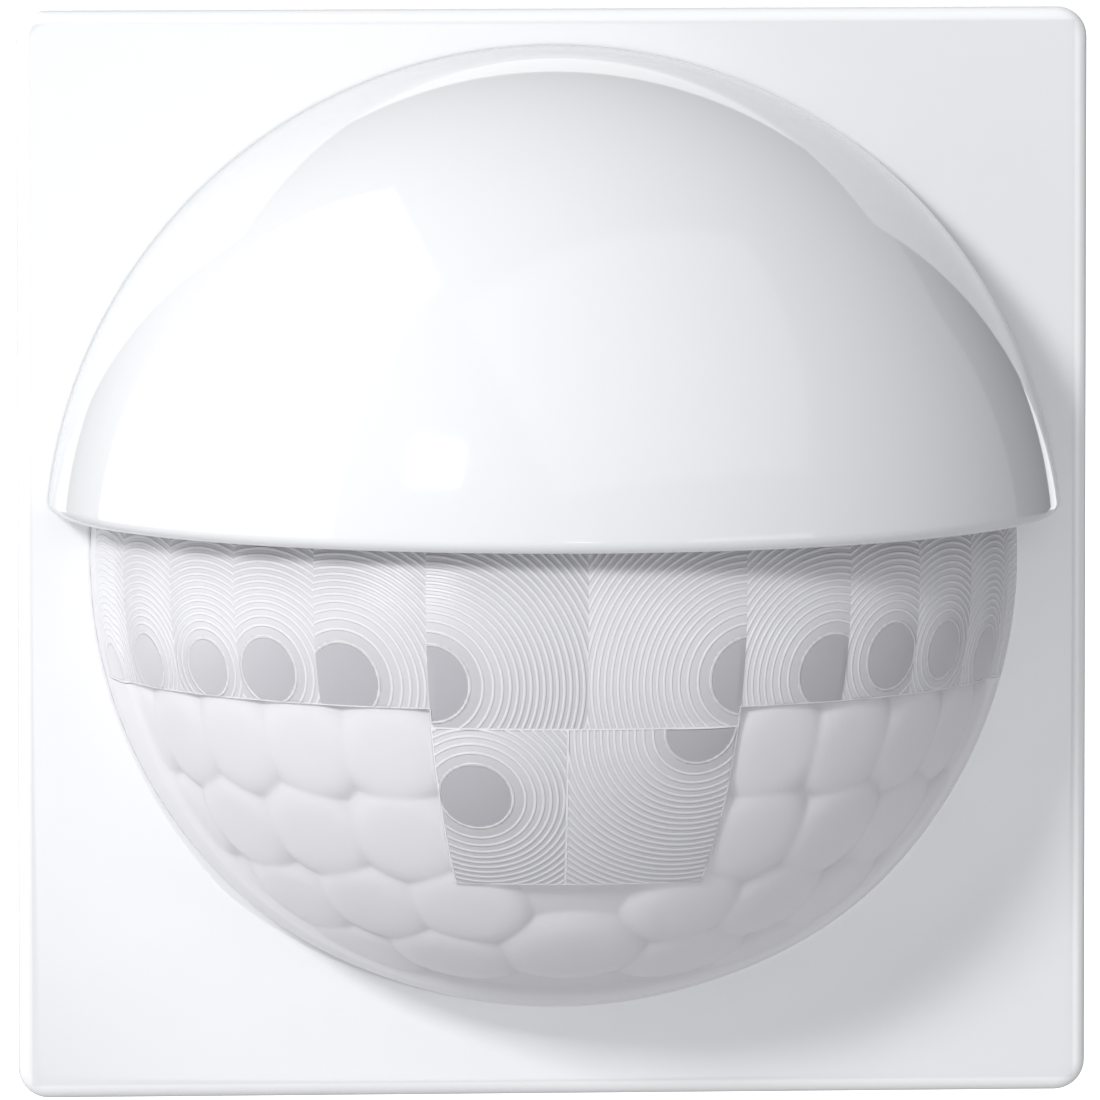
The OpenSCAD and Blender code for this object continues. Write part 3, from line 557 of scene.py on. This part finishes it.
def make_lens():
    """Outer skin on a grid of turn and height angles with the relief added to the radius; the skin runs straight
    back from the plate's face to the flange, and a smooth inner wall closes it."""
    top = math.degrees(math.asin(LENS_TOP / LENS_R))
    edges = sorted({-90.0, 90.0, WINDOW_SPLIT, *BAND_EDGES, *(-edge for edge in BAND_EDGES)})
    turn = fine_steps(edges, 0.5)
    skin_grid = np.meshgrid(turn, fine_steps([top, BAND_LOW, WINDOW_TOP, WINDOW_LOW, -68.0, -90.0], 0.46),
                            indexing="ij")
    skin = on_ball(*skin_grid, LENS_R + lens_relief(*skin_grid))
    wall = on_ball(*np.meshgrid(turn, fine_steps([-90.0, top], 4.0), indexing="ij"), LENS_R - LENS_T)
    points = np.concatenate([skin, wall], 1)
    left_end, right_end = back_columns(points[0], points[-1], skin.shape[1])
    points = np.concatenate([left_end, points, right_end], 0)
    columns, rows = points.shape[:2]
    faces = grid_faces(columns, rows, close_columns=True).tolist()
    faces += [list(range(rows)), list(range((columns - 1) * rows, columns * rows))]
    lens = mesh_piece("lens_skin", points.reshape(-1, 3), faces)
    tidy_mesh(lens)
    mark_lens(lens)
    return sharpen(lens, 50)


def back_columns(left, right, split):
    """Columns that carry each end of the skin and its inner wall straight back, with the flange standing out from
    the skin at the rear. The first split points of a column belong to the skin."""
    rear = lens_high[1]
    flange_r = lens_high[0]
    sides = []
    for column in (left, right):
        flat = column[:, [0, 2]] / np.maximum(np.linalg.norm(column[:, [0, 2]], axis=1, keepdims=True), 1e-9)
        skin = np.arange(len(column)) < split
        steps = []
        for depth, reach in ((rear - 1.0, 0.0), (rear - 1.0, 1.0), (rear, 1.0)):
            ring = column.copy()
            ring[:, 1] = depth
            out = np.linalg.norm(column[:, [0, 2]], axis=1)
            goal = np.where(skin & (column[:, 2] < LENS_TOP), out + (flange_r - out) * reach, out)
            ring[:, [0, 2]] = flat * goal[:, None]
            steps.append(ring)
        sides.append(steps)
    return np.stack(sides[0][::-1]), np.stack(sides[1])


def groove_count(distance, first):
    """Grooves passed at a distance from a zone's middle, and the groove width there. One up to the first ring, then
    the square law of a stepped lens, and from where its step would fall below the tool's width an even pitch."""
    pitch, share = 0.43, 0.76
    even = share * first ** 2 / (2 * pitch)
    curved = 1 + ((np.minimum(distance, max(even, first)) / first) ** 2 - 1) / share
    count = curved + np.maximum(distance - max(even, first), 0) / pitch
    count = np.where(distance < first, (distance / first) ** 2, count)
    width = np.where(distance < first, first ** 2 / (2 * np.maximum(distance, 0.5)),
                     np.maximum(share * first ** 2 / (2 * distance), pitch))
    return count, width


def line_distance(turn, lat):
    """Distance in millimetres from each direction to the nearest moulded line: across the line and past its end."""
    nearest = np.full(len(turn), 9.0)
    for kind, at, start, end in LINES_AT:
        if kind == "turn":
            beyond = np.maximum(np.maximum(start - lat, lat - end), 0)
            gap = np.hypot(np.radians(turn - at) * np.cos(np.radians(lat)), np.radians(beyond))
        else:
            beyond = np.maximum(np.maximum(start - turn, turn - end), 0) * np.cos(np.radians(lat))
            gap = np.hypot(np.radians(lat - at), np.radians(beyond))
        nearest = np.minimum(nearest, gap * LENS_R)
    return nearest


def milkiness_and_painted_light(turn, lat):
    """Paleness of the lens wall: even in the grooved zones and paler on the cells, with painted shade in the furrows
    between them and painted light that makes the border next to the plate palest."""
    cells = lat < BAND_LOW
    window = (np.abs(turn) < WINDOW_SIDE) & (lat > WINDOW_LOW)
    milk_tone_and_painted_light = np.full(len(turn), 0.72)
    # Painted shade in the furrows between the cells.
    milk_tone_and_painted_light -= 0.14 * smoothstep(0.45, 0.1, lens_relief(turn, lat) + RELIEF) * cells
    milk_tone_and_painted_light += 0.15 * (cells & ~window)
    # Painted light: the border next to the plate, seen at a slant, is made palest.
    return milk_tone_and_painted_light + 0.25 * smoothstep(0.30, 0.2, direction(turn, lat)[..., 1])


def mark_lens(lens):
    """Writes to each face corner the groove count, the groove width, the distance to a moulded line and the
    milky paleness with its painted light and shade, worked out from the point's direction seen from the ball's centre.
    The discs and the first rings are darker, and the upper edge under the hood gets a painted shadow of the hood, all
    of it less towards the sides."""
    mesh = lens.data
    place = np.zeros(len(mesh.vertices) * 3, np.float32)
    mesh.vertices.foreach_get("co", place)
    place = place.reshape(-1, 3) / MM
    place[:, 1] = FACE_Y - place[:, 1]
    out = np.linalg.norm(place, axis=1)
    unit = place / out[:, None]
    lat = np.degrees(np.arcsin(np.clip(unit[:, 2], -1, 1)))
    turn = np.degrees(np.arctan2(unit[:, 0], unit[:, 1]))
    corner = np.zeros(len(mesh.loops), np.int32)
    mesh.loops.foreach_get("vertex_index", corner)
    size = np.zeros(len(mesh.polygons), np.int32)
    mesh.polygons.foreach_get("loop_total", size)
    face_of = np.repeat(np.arange(len(size)), size)
    mid_turn, mid_lat, mid_out = (np.bincount(face_of, value[corner]) / size for value in (turn, lat, out))
    outside = mid_out > LENS_R - LENS_T * 0.8
    ring_n = np.full(len(corner), -1.0, np.float32)
    ring_step = np.ones(len(corner), np.float32)
    for left, right, low, high, t, h, first in GROOVED:
        here = (mid_turn > left) & (mid_turn < right) & (mid_lat > low) & (mid_lat < high) & outside
        pick = here[face_of]
        ring_n[pick], ring_step[pick] = groove_count(apart(turn[corner[pick]], lat[corner[pick]], t, h), first)
    shade = np.where(ring_n < 0, 0, 0.06 + 0.30 * (ring_n < 1) + 0.12 * (ring_n < 2) + 0.05 * (ring_n < 3))
    # Painted shadow of the hood: the grooved zones get darker towards their upper edge under the lip.
    shade += 0.22 * smoothstep(-2.0, 4.0, lat[corner]) * (ring_n >= 0)
    strength = smoothstep(75, 25, np.abs(turn[corner])) * 0.75 + 0.25
    marks = {"ring_n": ring_n, "ring_step": ring_step, "seam": line_distance(turn, lat)[corner],
             "milk_tone_and_painted_light": milkiness_and_painted_light(turn, lat)[corner] - shade * strength}
    for key, values in marks.items():
        layer = mesh.attributes.new(key, "FLOAT", "CORNER")
        layer.data.foreach_set("value", np.asarray(values, np.float32))


dress(make_lens(), "lens_plastic", "module", "lens_dome")


# ---------------------------------------------------------------- studio

def stage_plane(name, centre, across, up, colour, glow=0.0):
    """A flat pale sheet round centre, spanned by two half-axes and clear when seen from behind."""
    c, a, u = (np.array(v, float) for v in (centre, across, up))
    corners = np.stack([c - a - u, c + a - u, c + a + u, c - a + u]) / MM
    sheet = mesh_piece(name, corners, [[0, 1, 2, 3]], smooth=False)
    made, tree, shader = new_material(name + "_paint")
    shader.inputs["Base Color"].default_value = (*colour, 1)
    shader.inputs["Roughness"].default_value = 0.8
    shader.inputs["Emission Color"].default_value = (1, 1, 1, 1)
    shader.inputs["Emission Strength"].default_value = glow
    clear = add(tree, "ShaderNodeBsdfTransparent").outputs[0]
    behind = add(tree, "ShaderNodeNewGeometry").outputs["Backfacing"]
    both = add(tree, "ShaderNodeMixShader", {0: behind, 1: shader.outputs[0], 2: clear}).outputs[0]
    surface = next(n for n in tree.nodes if n.type == "OUTPUT_MATERIAL")
    tree.links.new(both, surface.inputs["Surface"])
    sheet.data.materials.append(made)
    return sheet


def soft_box(name, place, width, height, watts, colour=(1, 1, 1), aim=(0, -0.02, 0)):
    """A flat rectangular studio light that faces a point."""
    lamp = bpy.data.lights.new(name, "AREA")
    lamp.shape = "RECTANGLE"
    lamp.size, lamp.size_y = width, height
    lamp.energy = watts
    lamp.color = colour
    light = bpy.data.objects.new(name, lamp)
    light.location = place
    light.rotation_euler = (Vector(aim) - Vector(place)).to_track_quat("-Z", "Y").to_euler()
    bpy.context.scene.collection.objects.link(light)
    return light


def hide_from_camera(thing):
    """Keeps a light or a card out of the picture and leaves what it does to the light."""
    thing.visible_camera = False
    return thing


# Places and sizes in metres, powers in watts. The floor is low enough to leave the plate's edge against the
# backdrop, the grey card darkens the hood's far side, and the plate panel lights the plate's face from the front.
FLOOR_Z = -0.25
stage_plane("floor", (0, 0, FLOOR_Z), (2, 0, 0), (0, 2, 0), (0.55, 0.55, 0.56))
stage_plane("backdrop", (0, 1.6, 0.45), (0.92, 0, 0), (0, 0, 0.70), (0.9, 0.9, 0.9), 0.9)
hide_from_camera(stage_plane("grey_card", (0.49, 0.46, 0.13), (0.20, 0, 0), (0, 0, 0.24), (0.10, 0.10, 0.105)))
hide_from_camera(soft_box("key_box", (-0.50, -0.80, 0.41), 0.19, 0.16, 4.9))
hide_from_camera(soft_box("left_wall", (-0.70, 0.02, 0.75), 1.05, 1.8, 6.5, aim=(0, 0.02, 0.75)))
hide_from_camera(soft_box("top_fill", (0.36, -0.72, 0.90), 1.5, 1.3, 2.4))
hide_from_camera(soft_box("right_fill", (0.60, -0.70, -0.15), 0.5, 0.5, 0.8))
hide_from_camera(soft_box("low_bounce", (0.0, -0.42, -0.07), 0.7, 0.12, 0.05))
plate_panel = hide_from_camera(soft_box("plate_panel", (0.043, -1.30, -0.072), 0.15, 0.28, 0.34))
plate_panel.rotation_euler = (math.radians(90), math.radians(-38), 0)

world = bpy.data.worlds.new("studio_air")
world.use_nodes = True
air = world.node_tree.nodes["Background"]
air.inputs["Color"].default_value = (0.94, 0.96, 1.0, 1)
air.inputs["Strength"].default_value = 0.30
bpy.context.scene.world = world
bpy.context.scene.view_settings.view_transform = "Standard"

CAMERA_TURN, CAMERA_RISE = math.radians(-4.28), math.radians(5.0)
CAMERA_DISTANCE = 1.2
camera_data = bpy.data.cameras.new("camera")
camera_data.lens = 597.0
camera_data.clip_start, camera_data.clip_end = 0.05, 10.0
camera = bpy.data.objects.new("camera", camera_data)
back = Vector((math.sin(CAMERA_TURN) * math.cos(CAMERA_RISE), -math.cos(CAMERA_TURN) * math.cos(CAMERA_RISE),
               math.sin(CAMERA_RISE)))
target = Vector((-0.00023, FACE_Y * MM, 0.0002))
camera.location = target + back * CAMERA_DISTANCE
camera.rotation_euler = (-back).to_track_quat("-Z", "Y").to_euler()
bpy.context.scene.collection.objects.link(camera)
bpy.context.scene.camera = camera
